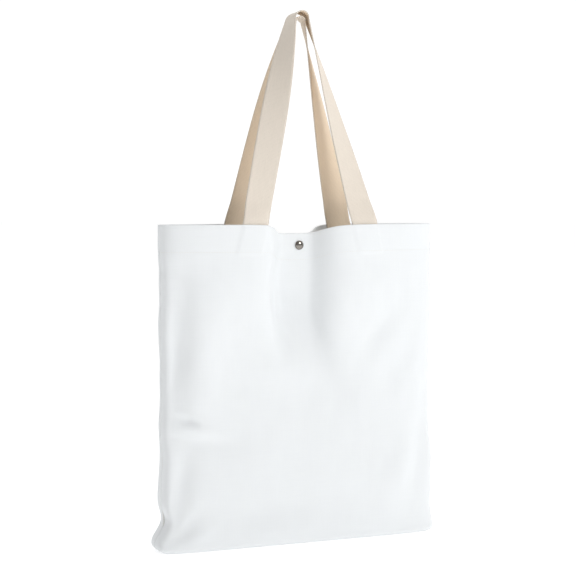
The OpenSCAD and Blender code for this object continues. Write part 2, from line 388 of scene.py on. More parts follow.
def overlocked_edge(colour):
    loop = 2.4 * MM
    slant = 5 * MM
    shader = Shader("overlocked_edge", Sheen_Weight=0.1, Specular_IOR_Level=0.2)
    _, u, v = shader.cloth()
    loops = (v * (math.pi / loop) + u * (math.pi / slant)).sine().absolute()
    fuzz = shader.noise(shader.place(), 900.0)
    shader.bump(loops + fuzz * 0.3, 0.8, 0.5 * MM)
    # Painted shade: the edge is darker in the grooves between the thread's loops
    tone = shader.mix(loops, tint(colour, 0.82), tint(colour, 1.0))
    return shader.finish(Base_Color=tone, Roughness=0.8 + 0.1 * fuzz)


def plated_metal(colour, name, roughness):
    shader = Shader(name, Metallic=1.0)
    place = shader.place()
    wear = shader.noise(place, 350.0, 5.0)
    grain = shader.noise(place, 2600.0, 2.0)
    shader.bump(grain, 0.05, 0.05 * MM)
    tone = shader.mix(wear, tint(colour, 0.85), tint(colour, 1.15))
    return shader.finish(Base_Color=tone, Roughness=roughness + 0.1 * wear)


def pale_floor(colour):
    shader = Shader("pale_floor", Specular_IOR_Level=0.0, Emission_Strength=0.38)
    grain = shader.noise(shader.place(), 40.0)
    tone = shader.mix(grain, tint(colour, 0.995), tint(colour, 1.005))
    return shader.finish(Base_Color=tone, Emission_Color=tone, Roughness=0.85 + 0.05 * grain)


def finish_named(name, make, *values):
    """The finish of that name, made the first time that it is asked for."""
    return bpy.data.materials.get(name) or make(*values)


# Meshes


def show(name, bm, body=None, materials=(), replaces=(), smooth=True):
    """Makes a bmesh an object of the scene, in place, that rides on a body."""
    mesh = bpy.data.meshes.new(name)
    for face in bm.faces:
        face.smooth = smooth
    bm.to_mesh(mesh)
    bm.free()
    for material in materials:
        mesh.materials.append(material)
    piece = bpy.data.objects.new(name, mesh)
    bpy.context.scene.collection.objects.link(piece)
    if body:
        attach(piece, body)
    if replaces:
        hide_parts(*replaces)
    return piece


def cloth_mesh(points, uvs, merge=0.02 * MM):
    """A grid of cloth whose vertices are moved to their points, with its cloth map."""
    rows, columns = points.shape[:2]
    bm = bmesh.new()
    bmesh.ops.create_grid(bm, x_segments=columns - 1, y_segments=rows - 1, size=0.5)
    uv_layer = bm.loops.layers.uv.new("cloth")
    place = {}
    for vertex in bm.verts:
        column = round((vertex.co.x + 0.5) * (columns - 1))
        row = round((vertex.co.y + 0.5) * (rows - 1))
        place[vertex] = (row, column)
    for face in bm.faces:
        for loop in face.loops:
            loop[uv_layer].uv = uvs[place[loop.vert]]
    for vertex, index in place.items():
        vertex.co = points[index]
    bmesh.ops.remove_doubles(bm, verts=bm.verts, dist=merge)
    return bm


def thicken(piece, thickness, offset, inner_material=0):
    solid = piece.modifiers.new("thickness", "SOLIDIFY")
    solid.thickness = thickness
    solid.offset = offset
    solid.use_even_offset = True
    solid.use_quality_normals = True
    solid.thickness_clamp = 1.0
    solid.material_offset = inner_material
    return piece


def add_stitch(bm, start, end, normal, radius):
    """One stitch of thread between two points, sunk at its ends."""
    along = end - start
    length = along.length
    x_axis = along.normalized()
    y_axis = normal.cross(x_axis).normalized()
    turn = Matrix((x_axis, y_axis, x_axis.cross(y_axis))).transposed().to_4x4()
    scale = Matrix.Diagonal((length / 2, radius, radius * 0.8, 1))
    place = Matrix.Translation((start + end) / 2) @ turn @ scale
    bmesh.ops.create_uvsphere(bm, u_segments=7, v_segments=5, radius=1, matrix=place)


def spun(profile, centre, outward, steps=64):
    """A ring or dome spun from a profile of (radius, height) about a line along Y."""
    bm = bmesh.new()
    axis = Vector((0, outward, 0))
    verts = [bm.verts.new(centre + Vector((radius, 0, 0)) + axis * height) for radius, height in profile]
    edges = [bm.edges.new(pair) for pair in zip(verts, verts[1:])]
    bmesh.ops.spin(
        bm, geom=verts + edges, cent=centre, axis=axis, angle=2 * math.pi, steps=steps, use_merge=True,
    )
    bmesh.ops.remove_doubles(bm, verts=bm.verts, dist=0.005 * MM)
    bmesh.ops.recalc_face_normals(bm, faces=bm.faces)
    return bm


# Shape of the sewn bag


def ease(t):
    t = np.clip(t, 0, 1)
    return t * t * (3 - 2 * t)


def mix(a, b, t):
    return a + (b - a) * t


def unit(vectors):
    return vectors / np.maximum(np.linalg.norm(vectors, axis=-1, keepdims=True), 1e-12)


class BagForm:
    """The bag's outer surface: a rounded plan that changes with height, pleated by the snap."""

    BASE_SQUARE = 7
    WAIST_SQUARE = 3.8
    MOUTH_SQUARE = 3
    SEAM_GAP = 0.15 * MM
    SNAP_REACH = 1.85 * MM
    QUARTER = 500
    LEFT_EDGE = 6
    RIGHT_EDGE = 3
    FLARE = (0.45, 0.4)
    PLEAT = (0.5, 0.3)
    DIP = (0.6, 0.25)

    def __init__(self, bag):
        self.bag = bag
        snap_hem_y = self.SNAP_REACH + bag.hem_thickness
        self.pleat_share = 1 - (snap_hem_y - self.SEAM_GAP) / (bag.mouth_depth / 2 - self.SEAM_GAP)

    def rising(self, share, band):
        """0 below a band of the bag's height and 1 above it; a band is its start and its length."""
        start, length = band
        return ease((share - start) / length)

    def bump(self, x):
        """1 on the snap's flat, fading out past it, sharply on the left and gently on the right."""
        past_flat = np.maximum(0, np.abs(x) - self.bag.snap_flat)
        reach = np.where(x < 0, self.bag.pleat_left, self.bag.pleat_right)
        return 1 / (1 + (past_flat / reach) ** np.where(x < 0, self.LEFT_EDGE, self.RIGHT_EDGE))

    def half_depth(self, share):
        return mix(self.bag.base_depth, self.bag.mouth_depth, self.rising(share, self.FLARE)) / 2

    def squareness(self, share):
        if share < 0.5:
            return mix(self.BASE_SQUARE, self.WAIST_SQUARE, ease(2 * share))
        return mix(self.WAIST_SQUARE, self.MOUTH_SQUARE, ease(2 * share - 1))

    def outline(self, square):
        """Unit plan from seam to seam, as two arrays."""
        corner = 2 ** (-1 / square)
        turn = np.linspace(0, math.pi / 2, self.QUARTER)
        side_y = corner * np.sin(turn)
        side_x = (1 - side_y ** square) ** (1 / square)
        face_x = corner * np.cos(turn)
        face_y = (1 - face_x ** square) ** (1 / square)
        half_x = np.concatenate([side_x[:-1], face_x])
        half_y = np.concatenate([side_y[:-1], face_y])
        x = np.concatenate([-half_x[:-1], half_x[::-1]])
        y = np.concatenate([half_y[:-1], half_y[::-1]])
        return x, y

    def spread(self, x, y, shares):
        """Points at the given shares of a curve's length."""
        along = np.concatenate([[0], np.cumsum(np.hypot(np.diff(x), np.diff(y)))])
        where = shares * along[-1]
        return np.interp(where, along, x), np.interp(where, along, y)

    def wall(self, z, shares):
        """Row of the wall at height z."""
        bag = self.bag
        share = z / bag.height
        unit_x, unit_y = self.outline(self.squareness(share))
        x = bag.half_width * unit_x
        pleat = self.pleat_share * self.bump(x) * self.rising(share, self.PLEAT)
        y = self.SEAM_GAP + (self.half_depth(share) - self.SEAM_GAP) * unit_y * (1 - pleat)
        x, y = self.spread(x, y, shares)
        dip = bag.hem_dip * self.bump(x) * self.rising(share, self.DIP)
        return np.stack([x, -y, z - dip], 1)

    def fold(self, turn, shares):
        """Row of the fold round the base, at a turn from 0 on the base to a right angle."""
        bag = self.bag
        unit_x, unit_y = self.outline(self.BASE_SQUARE)
        inset = bag.base_fold * (1 - math.sin(turn))
        depth = bag.base_depth / 2 - self.SEAM_GAP - inset
        x, y = self.spread((bag.half_width - inset) * unit_x, self.SEAM_GAP + depth * unit_y, shares)
        z = np.full(len(x), bag.base_fold * (1 - math.cos(turn)))
        return np.stack([x, -y, z], 1)

    def base(self, share, shares):
        """Row of the base, from the bottom seam at share 0 to the fold at share 1."""
        edge = self.fold(0, shares)
        reach = self.bag.half_width - self.bag.base_fold
        seam = np.stack([mix(-reach, reach, shares), np.full(len(shares), -self.SEAM_GAP), edge[:, 2]], 1)
        return mix(seam, edge, share)


def crease(x, z, centre, slope, reach, width, depth):
    """A soft crease through a place, along a slope, that fades out at its ends."""
    dx = x - centre[0] * MM
    dz = z - centre[1] * MM
    angle = math.radians(slope)
    along = dx * math.cos(angle) + dz * math.sin(angle)
    across = dz * math.cos(angle) - dx * math.sin(angle)
    return depth * MM * np.exp(-((along / (reach * MM)) ** 2) - (across / (width * MM)) ** 2)


# Creases in millimetres: place on the panel, slope in degrees, reach, width and depth
FRONT_CREASES = [
    ((4, 268), -60, 92, 21, -6.0),      # the long fold that falls from the snap to the right
    ((44, 282), -60, 80, 26, 4.0),
    ((-34, 338), -80, 52, 12, -3.5),    # the pleat's left flank, running out below the hem
    ((88, 262), 49, 62, 16, -3.8),      # folds that rise towards the right side
    ((66, 240), 49, 66, 19, 3.2),
    ((132, 236), 62, 54, 18, -3.0),
    ((-176, 270), 88, 96, 20, -10.0),   # the slack left side
    ((-142, 262), 80, 76, 28, 3.6),
    ((-160, 170), -15, 14, 5, -5.6),    # the dimple at the left
    ((-150, 158), -12, 24, 9, 2.6),
    ((-136, 140), -6, 40, 12, -2.4),
    ((-172, 84), 80, 56, 15, -6.0),     # folds above the lower left corner
    ((-162, 34), 50, 28, 9, -3.0),
    ((-146, 22), 35, 34, 10, 2.2),
    ((166, 118), 80, 62, 16, -4.0),     # folds above the lower right corner
    ((138, 96), 70, 48, 18, 2.8),
    ((60, 108), 0, 125, 85, 6.0),       # the full belly of the bag
    ((-60, 205), -30, 60, 26, -2.6),
    ((-40, 48), 4, 120, 18, -2.4),
]
REAR_CREASES = [
    ((-150, 190), 60, 60, 12, -2.0),
    ((-120, 235), 55, 60, 16, 1.6),
    ((70, 300), 82, 60, 12, -2.0),
    ((0, 290), 88, 70, 14, 1.8),
    ((120, 150), -50, 60, 13, -2.0),
    ((150, 190), -55, 50, 12, 1.6),
    ((30, 90), 8, 90, 20, -1.6),
    ((-170, 50), 60, 30, 8, -2.4),
]


class CanvasPanel:
    """One panel of canvas, as rows and columns of points on its outer face."""

    BOTTOM_TURN = (1.0, 0.55, 0.15)
    SIDE_TURN = (0.15, 0.55, 1.0)
    BASE_ROWS = 8
    FOLD_ROWS = 7
    ROLL_ROWS = 7

    # Waves of the cloth, as pitches per metre and heights
    BROAD_PITCH = 13
    BROAD_WAVE = 3.2 * MM
    FINE_PITCH = (55, 55, 38)
    FINE_WAVE = 0.6 * MM

    # Where the waves and creases fade out: at the hem, as shares of the bag's height
    HEM_CALM = 0.75
    HEM_FADE = 0.06
    HEM_FADE_LENGTH = 0.08

    # At the base, at the seams, as a share of the panel's width, and round the snap
    BASE_START = 2 * MM
    BASE_FADE = 20 * MM
    SEAM_CALM = 0.06
    SNAP_STRETCH = 0.9
    SNAP_CALM = 9 * MM
    SNAP_FADE = 22 * MM

    # The flared lower corners and the waist above them
    FLARE_REACH = 32 * MM
    LEFT_FLARE = 8.5 * MM
    RIGHT_FLARE = 2.5 * MM
    FLARE_Z = 9 * MM
    FLARE_LENGTH = 15 * MM
    WAIST_Z = 40 * MM
    WAIST_LENGTH = 13 * MM
    WAIST_DEPTH = 0.55

    # How the side seams wander, between the lower corners and the hem
    WANDER_REACH = 45 * MM
    WANDER_FROM = 60 * MM
    WANDER_FADE = 40 * MM
    WANDER_END = 30 * MM
    WANDER_PITCH = 22
    WANDER_IN = 1.5 * MM
    WANDER = 2.2 * MM

    # The hem's stitch groove, its lower edge, and the webbing under it
    GROOVE = 0.7 * MM
    GROOVE_WIDTH = 1.6 * MM
    HEM_STEP = 0.35 * MM
    STEP_BELOW = 1 * MM
    STITCH_INSET = 2 * MM
    STEP_FADE = 3 * MM
    WEBBING_RIDGE = 1.0 * MM
    LEG_SPLAY = 0.24

    def __init__(self, form, side, creases, seed):
        self.form = form
        self.bag = form.bag
        self.side = side
        bag = self.bag
        shares = np.linspace(0, 1, bag.columns + 1)
        base_rows = [form.base(t, shares) for t in np.linspace(0, 1, self.BASE_ROWS)]
        turns = np.linspace(0, math.pi / 2, self.FOLD_ROWS)[1:]
        fold_rows = [form.fold(turn, shares) for turn in turns]
        roll = bag.hem_thickness / 2
        heights = np.linspace(bag.base_fold, bag.height - roll, bag.rows)[1:]
        wall_rows = [form.wall(z, shares) for z in heights]
        outer = np.array(base_rows + fold_rows + wall_rows)
        outer = self.ruffled(outer, creases, seed)
        normals = self.normals_of(outer)
        self.outer = outer
        self.normals = normals
        self.heights = outer[:, 0, 2]
        self.wall_start = len(base_rows) + len(fold_rows)
        top, top_normal = outer[-1], normals[-1]
        level = unit(top_normal * np.array([1, 1, 0]))
        centre = top - level * roll
        up = np.array([0, 0, 1.0])
        rolled = [
            centre + roll * (math.cos(turn) * level + math.sin(turn) * up)
            for turn in np.linspace(0, math.pi, self.ROLL_ROWS + 1)[1:]
        ]
        hem_rows = self.heights > bag.height - bag.hem_height
        lining = (outer - normals * bag.hem_thickness)[hem_rows][::-1][1:]
        turned_up = [outer[0] + up * bag.seam_allowance * t for t in self.BOTTOM_TURN]
        points = np.concatenate([turned_up, outer, rolled, lining])
        points = self.with_side_turns(points, len(turned_up))
        self.points = points
        self.first_column = len(self.SIDE_TURN)
        steps = np.linalg.norm(np.diff(points[:, points.shape[1] // 2], axis=0), axis=1)
        self.v = np.concatenate([[0], np.cumsum(steps)])
        edge = bag.seam_allowance * np.array(self.SIDE_TURN)
        flat_width = self.flat_width()
        self.u = np.concatenate([-edge[::-1], shares * flat_width, flat_width + edge])
        grid_u, grid_v = np.meshgrid(self.u, self.v)
        self.uvs = np.stack([grid_u, grid_v], 2)

    def flat_width(self):
        """Length of the panel's outline halfway up."""
        x, y = self.form.outline(self.form.WAIST_SQUARE)
        bag = self.bag
        return float(np.hypot(np.diff(x * bag.half_width), np.diff(y * bag.base_depth / 2)).sum())

    def ruffled(self, outer, creases, seed):
        """Adds the cloth's creases and soft waves, quiet at the hem, the snap, the base and the seams."""
        x, z = outer[..., 0], outer[..., 2]
        creased = sum(crease(x, z, *shape) for shape in creases)
        near_snap = self.away_from_snap(x, z)
        calm = near_snap * self.below_hem(z) * self.above_base(z) * self.beside_seams(x)
        lift = (creased + self.waves(outer, seed)) * calm + self.hem_ridges(x, z) * near_snap
        raised = outer + self.normals_of(outer) * lift[..., None]
        raised[..., 0] += self.corner_flare(x, z) + self.seam_waves(x, z)
        return raised

    def waves(self, outer, seed):
        """Broad and fine waves of the cloth."""
        waves = np.zeros(outer.shape[:2])
        for index in np.ndindex(*waves.shape):
            place = Vector(outer[index])
            broad = noise.noise(place * self.BROAD_PITCH + Vector((seed, 0, 0)))
            fine_place = Vector(np.array(place) * self.FINE_PITCH)
            fine = noise.noise(fine_place + Vector((0, seed, 0)))
            waves[index] = self.BROAD_WAVE * broad + self.FINE_WAVE * fine
        return waves

    def below_hem(self, z):
        """1 below the hem, and the little that the hem's stiff layers let through on it."""
        share = z / self.bag.height
        hem_start = 1 - self.bag.hem_height / self.bag.height
        return 1 - self.HEM_CALM * ease((share - hem_start + self.HEM_FADE) / self.HEM_FADE_LENGTH)

    def above_base(self, z):
        return ease((z - self.BASE_START) / self.BASE_FADE)

    def beside_seams(self, x):
        share = np.linspace(0, 1, x.shape[1])
        return ease(np.minimum(share, 1 - share) / self.SEAM_CALM)[None, :]

    def away_from_snap(self, x, z):
        from_snap = np.hypot(x, (z - SNAP_Z) * self.SNAP_STRETCH)
        return ease((from_snap - self.SNAP_CALM) / self.SNAP_FADE)

    def near_side(self, x, reach):
        """1 at the side seams, fading to 0 at a reach from them."""
        return ease((np.abs(x) - self.bag.half_width + reach) / reach)

    def corner_flare(self, x, z):
        """How far the lower corners stand out sideways, under a waist where the side creases in."""
        flare = np.exp(-(((z - self.FLARE_Z) / self.FLARE_LENGTH) ** 2))
        waist = np.exp(-(((z - self.WAIST_Z) / self.WAIST_LENGTH) ** 2))
        amount = np.where(x < 0, self.LEFT_FLARE, self.RIGHT_FLARE)
        shape = flare - self.WAIST_DEPTH * waist
        return np.sign(x) * amount * self.near_side(x, self.FLARE_REACH) * shape

    def seam_waves(self, x, z):
        """How far the side seams wander in and out, the same on both panels."""
        hem_start = self.bag.height - self.bag.hem_height
        calm = ease((z - self.WANDER_FROM) / self.WANDER_FADE) * ease((hem_start - z) / self.WANDER_END)
        waves = np.zeros(x.shape)
        for index in np.ndindex(*x.shape):
            side = 1 if x[index] > 0 else -1
            waves[index] = noise.noise(Vector((side * 7, 0.3, z[index] * self.WANDER_PITCH)))
        inward = self.WANDER_IN + self.WANDER * waves
        return -inward * np.sign(x) * self.near_side(x, self.WANDER_REACH) * calm

    def hem_ridges(self, x, z):
        """The stitch line's groove and the ridges of the webbing under the hem."""
        bag = self.bag
        handle = bpy.context.scene.tote_handles
        drop = bag.hem_dip * self.form.bump(x)
        below = bag.height - drop - z
        groove = np.exp(-(((below - self.stitch_depth()) / self.GROOVE_WIDTH) ** 2))
        step = ease((bag.hem_height + self.STEP_BELOW - below) / self.STEP_FADE)
        foot = handle.spacing / 2 + np.where((x > 0) & (self.side < 0), handle.front_shift, 0)
        beside = handle.width / 2 - np.abs(np.abs(x) - foot - self.LEG_SPLAY * below)
        above_end = z + drop - FRONT_END_LOW.z
        over_end = ease(beside / self.STEP_FADE + 0.5) * ease(above_end / self.STEP_FADE + 0.5)
        return self.HEM_STEP * step + self.WEBBING_RIDGE * over_end - self.GROOVE * groove

    def stitch_depth(self):
        """Distance of the stitch line below the hem's top edge."""
        return self.bag.hem_height - self.STITCH_INSET

    def depth_at(self, x, height):
        """How far the panel's outer face is from the middle plane at x, at a height before the dip."""
        row = self.row_at(height)
        low = int(min(row, self.outer.shape[0] - 2))
        lower, upper = self.outer[low], self.outer[low + 1]
        depths = [-np.interp(x, line[:, 0], line[:, 1]) for line in (lower, upper)]
        return mix(depths[0], depths[1], row - low)

    def row_at(self, height):
        """Row of the outer face at a height before the dip, with a fraction."""
        wall = np.linspace(self.bag.base_fold, self.bag.height - self.bag.hem_thickness / 2, self.bag.rows)
        return float(np.interp(height, wall, np.arange(self.wall_start - 1, self.outer.shape[0])))

    def normals_of(self, grid):
        across = np.gradient(grid, axis=1)
        along = np.gradient(grid, axis=0)
        normals = np.cross(across, along)
        lengths = np.linalg.norm(normals, axis=2, keepdims=True)
        flat = np.where(lengths < 1e-12, np.array([0, 0, -1.0]), normals)
        return unit(flat)

    def with_side_turns(self, points, first):
        """Adds the cloth turned in at the side seams, from above the base to below the hem."""
        bag = self.bag
        z = points[:, 0, 2]
        start = 2 * bag.base_fold
        reach = ease((z - start) / start) * ease((bag.height - bag.hem_height - z) / start)
        reach[:first] = 0
        reach[z > bag.height - bag.hem_height] = 0
        turned = bag.seam_allowance * reach[:, None] * np.array(self.SIDE_TURN)[None, :]
        inward = turned[:, :, None] * np.array([1.0, 0, 0])
        left = points[:, :1] + inward
        right = points[:, -1:] - inward
        return np.concatenate([left[:, ::-1], points, right], axis=1)

    def placed(self, points):
        """The points on this panel's side of the bag."""
        return points * np.array([1, 1 if self.side < 0 else -1, 1])

    def mesh(self, rows=slice(None), columns=slice(None)):
        bm = cloth_mesh(self.placed(self.points[rows, columns]), self.uvs[rows, columns])
        if self.side > 0:
            bmesh.ops.reverse_faces(bm, faces=bm.faces)
        return bm

    def at(self, share, height):
        """Point and outward normal on the panel at a share of its width, height given before the dip."""
        row = self.row_at(height)
        column = share * (self.outer.shape[1] - 1)
        found = []
        for grid in (self.outer, self.normals):
            low_row = int(min(row, grid.shape[0] - 2))
            low_column = int(min(column, grid.shape[1] - 2))
            t, s = row - low_row, column - low_column
            lower = mix(grid[low_row, low_column], grid[low_row, low_column + 1], s)
            upper = mix(grid[low_row + 1, low_column], grid[low_row + 1, low_column + 1], s)
            found.append(self.placed(mix(lower, upper, t)))
        return Vector(found[0]), Vector(found[1]).normalized()


# Shape of the handles


class HandleForm:
    """A handle's webbing from one sewn end to the other, as centres, width directions and normals."""

    SEWN_STEPS = 16
    LEG_STEPS = 110
    FOLD_STEPS = 24
    ACROSS = 15
    CUP = 0.35 * MM
    SWAY = 0.6 * MM
    SWAY_PITCH = 9
    LEFT_TWIST = 1.75
    RIGHT_TWIST = 1.05
    TOP_Y = 3 * MM
    HEM_GAP = 0.2 * MM
    FREE_ABOVE = 32 * MM

    def __init__(self, panel, fold, top, shift):
        handle = bpy.context.scene.tote_handles
        self.panel = panel
        self.face = panel.side
        self.handle = handle
        self.feet = {-1: handle.spacing / 2, 1: handle.spacing / 2 + shift}
        self.strap_y = -(FRONT_END_LOW.y + FRONT_END_HIGH.y) / 2
        self.fold = fold
        self.fold_z = top - handle.thickness / 2 - fold
        left = [self.leg(t, -1) for t in np.linspace(0, 1, self.LEG_STEPS)]
        sewn_left = [self.sewn(t, -1) for t in np.linspace(0, 1, self.SEWN_STEPS)[:-1]]
        over = [self.over(t) for t in np.linspace(0, 1, self.FOLD_STEPS)[1:-1]]
        right = [self.leg(t, 1) for t in np.linspace(1, 0, self.LEG_STEPS)]
        sewn_right = [self.sewn(t, 1) for t in np.linspace(1, 0, self.SEWN_STEPS)[1:]]
        frames = sewn_left + left + over + right + sewn_right
        self.centres = np.array([centre for centre, _ in frames])
        along = unit(np.gradient(self.centres, axis=0))
        across = np.array([across for _, across in frames])
        self.across = unit(across - (across * along).sum(1, keepdims=True) * along)
        self.normals = np.cross(along, self.across)
        steps = np.linalg.norm(np.diff(self.centres, axis=0), axis=1)
        self.along = np.concatenate([[0], np.cumsum(steps)])

    def slope(self, side):
        """Angle of a leg from upright; side is -1 on the left."""
        rise = self.fold_z - HANDLE_HINGE_Z
        foot = self.feet[side]
        return math.atan(foot / rise) - math.asin(self.fold / math.hypot(foot, rise))

    def leg_turn(self, side, share):
        if side < 0:
            return self.handle.left_turn * share ** self.LEFT_TWIST
        return self.handle.right_turn * share ** self.RIGHT_TWIST

    def leg(self, share, side):
        """A frame of a leg, from the hem at share 0 to the fold at share 1."""
        slope, turn = self.slope(side), self.leg_turn(side, share)
        x = side * mix(self.feet[side], self.fold * math.cos(slope), share)
        y = self.face * mix(self.strap_y, self.TOP_Y, share)
        z = mix(HANDLE_HINGE_Z, self.fold_z + self.fold * math.sin(slope), share)
        return (x, y, z), (-side * math.cos(turn), -math.sin(turn), 0)

    def over(self, share):
        """A frame of the fold at the top."""
        around = mix(math.pi - self.slope(-1), self.slope(1), share)
        turn = mix(self.handle.left_turn, math.pi - self.handle.right_turn, share)
        x = self.fold * math.cos(around)
        z = self.fold_z + self.fold * math.sin(around)
        return (x, self.face * self.TOP_Y, z), (math.cos(turn), -math.sin(turn), 0)

    def sewn(self, share, side):
        """A frame of the end sewn inside the hem."""
        z = mix(FRONT_END_LOW.z, HANDLE_HINGE_Z, share)
        x = side * (self.feet[side] + (HANDLE_HINGE_Z - z) * math.tan(self.slope(side)))
        return (x, self.face * self.strap_y, z), (-side, 0, 0)

    def ribbon(self):
        """Points and cloth map of the ribbon, a little cupped and swaying along its length."""
        shares = np.linspace(-1, 1, self.ACROSS)
        width = shares * self.handle.width / 2
        cup = self.CUP * (1 - shares ** 2)
        places = [Vector((distance * self.SWAY_PITCH, self.face * 3.1, 0.5)) for distance in self.along]
        sway = self.SWAY * np.array([noise.noise(place) for place in places])
        lift = cup[None, :] + sway[:, None]
        points = self.centres[:, None] + self.across[:, None] * width[None, :, None]
        points = points + self.normals[:, None] * lift[..., None]
        grid_u, grid_v = np.meshgrid(width + self.handle.width / 2, self.along)
        return self.laid_on_hem(points), np.stack([grid_u, grid_v], 2)

    def laid_on_hem(self, points):
        """Lays the sewn ends against the inside of the hem, and eases the legs away from it above."""
        bag = self.panel.bag
        set_in = bag.hem_thickness + self.handle.thickness / 2 + self.HEM_GAP
        for index in np.ndindex(*points.shape[:2]):
            x, y, z = points[index]
            if z < bag.height + self.FREE_ABOVE:
                depth = self.panel.depth_at(x, min(z, bag.height)) - set_in
                free = float(ease((z - bag.height) / self.FREE_ABOVE))
                points[index][1] = mix(self.face * depth, y, free)
        return points


# Operators

# Share of the rear panel's width in each of its side strips, and where the panel is split into them
SIDE_SHARE = 0.085

# A stitch covers this share of its pitch
STITCH_SHARE = 0.76
THREAD_RADIUS = 0.36 * MM

# The panels that the canvas operator has shaped, by side, for the pieces that are sewn to them
PANELS = {}


def shape_panels(bag):
    PANELS[-1] = CanvasPanel(BagForm(bag), -1, FRONT_CREASES, seed=4.0)
    PANELS[1] = CanvasPanel(BagForm(bag), 1, REAR_CREASES, seed=11.0)


class TOTE_OT_canvas_panels(bpy.types.Operator):
    """Sews the front and rear canvas with their boxed base, turned hem and seam allowances"""

    bl_idname = "tote.canvas_panels"
    bl_label = "Canvas Panels"

    def execute(self, context):
        bag = context.scene.tote_bag
        self.canvas = finish_named("bleached_canvas", bleached_canvas, context.scene.tote_colours.canvas)
        self.bag = bag
        shape_panels(bag)
        front, rear = PANELS[-1], PANELS[1]
        flat = (front.flat_width(), float(front.v[-1]))
        self.piece("canvas_front", front.mesh(), flat, "front", ["front_panel"])
        columns = rear.points.shape[1]
        side = round(SIDE_SHARE * bag.columns) + rear.first_column
        base = len(rear.BOTTOM_TURN) + rear.BASE_ROWS + rear.FOLD_ROWS // 2
        wall_flat = (rear.u[columns - 1 - side] - rear.u[side], rear.v[-1] - rear.v[base - 1])
        middle = slice(side, columns - side)
        wall = rear.mesh(slice(base - 1, None), middle)
        self.piece("canvas_rear", wall, wall_flat, "rear", ["rear_panel"])
        strips = {
            "canvas_rear_base": rear.mesh(slice(0, base), middle),
            "canvas_rear_left_side": rear.mesh(slice(None), slice(0, side + 1)),
            "canvas_rear_right_side": rear.mesh(slice(None), slice(columns - side - 1, None)),
        }
        side_flat = (rear.u[side] - rear.u[0], rear.v[-1])
        flats = {"canvas_rear_base": (wall_flat[0], rear.v[base - 1])}
        for name, mesh in strips.items():
            piece = self.piece(name, mesh, flats.get(name, side_flat))
            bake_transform(piece)
        return {"FINISHED"}

    def piece(self, name, mesh, flat, body=None, replaces=()):
        piece = show(name, mesh, body, [self.canvas], replaces)
        thicken(piece, self.bag.canvas, -1)
        return piece


class TOTE_OT_overlocked_seams(bpy.types.Operator):
    """Wraps the seam allowances inside the bag in overlock thread"""

    bl_idname = "tote.overlocked_seams"
    bl_label = "Overlocked Seams"

    STEP = 1.2 * MM
    AROUND = 13
    FLATNESS = 0.6
    WAVE = 0.6 * MM
    WAVE_PITCH = 30
    BETWEEN_LOOPS = 0.82

    def execute(self, context):
        bag = context.scene.tote_bag
        finish = finish_named("overlocked_edge", overlocked_edge, context.scene.tote_colours.thread)
        depth = SEAM_HIGH.y - SEAM_LOW.y
        out = abs(SEAM_LOW.x)
        middle = (SEAM_LOW.y + SEAM_HIGH.y) / 2
        for name, side in (("left_side_seam", -1), ("right_side_seam", 1)):
            start = Vector((side * out, middle, SEAM_LOW.z))
            inward = Vector((-side, 0, 0))
            mesh = self.wrapped(start, Vector((0, 0, 1)), inward, SEAM_HIGH.z - SEAM_LOW.z, bag, depth)
            show(name + "_overlock", mesh, "front", [finish], [name])
        length = BOTTOM_SEAM_HIGH.x - BOTTOM_SEAM_LOW.x
        start = Vector((BOTTOM_SEAM_LOW.x, middle, BOTTOM_SEAM_LOW.z))
        mesh = self.wrapped(start, Vector((1, 0, 0)), Vector((0, 0, 1)), length, bag, depth)
        show("bottom_seam_overlock", mesh, "front", [finish], ["bottom_seam"])
        return {"FINISHED"}

    def wrapped(self, start, along, inward, length, bag, depth):
        """A flat tube from start, swollen by a loop of thread at every other ring."""
        rings = round(length / self.STEP)
        turns = np.linspace(0, 2 * math.pi, self.AROUND)
        across = along.cross(inward)
        points = np.zeros((rings + 1, self.AROUND, 3))
        uvs = np.zeros((rings + 1, self.AROUND, 2))
        for ring in range(rings + 1):
            place = length * ring / rings
            closed = min(1.0, 0.35 + min(ring, rings - ring) / 3)
            wave = self.WAVE * noise.noise(Vector((place * self.WAVE_PITCH, length, 0)))
            swell = 1.0 if ring % 2 else self.BETWEEN_LOOPS
            for index, turn in enumerate(turns):
                out = bag.seam_allowance / 2 * (1 - math.cos(turn)) * closed
                flatness = math.copysign(abs(math.sin(turn)) ** self.FLATNESS, math.sin(turn))
                thick = depth / 2 * flatness * swell * closed
                point = start + along * place + inward * (out + wave) + across * thick
                points[ring, index] = point
                uvs[ring, index] = (bag.seam_allowance * turn / math.pi, place)
        bm = cloth_mesh(points, uvs)
        bmesh.ops.holes_fill(bm, edges=[edge for edge in bm.edges if edge.is_boundary])
        bmesh.ops.recalc_face_normals(bm, faces=bm.faces)
        return bm


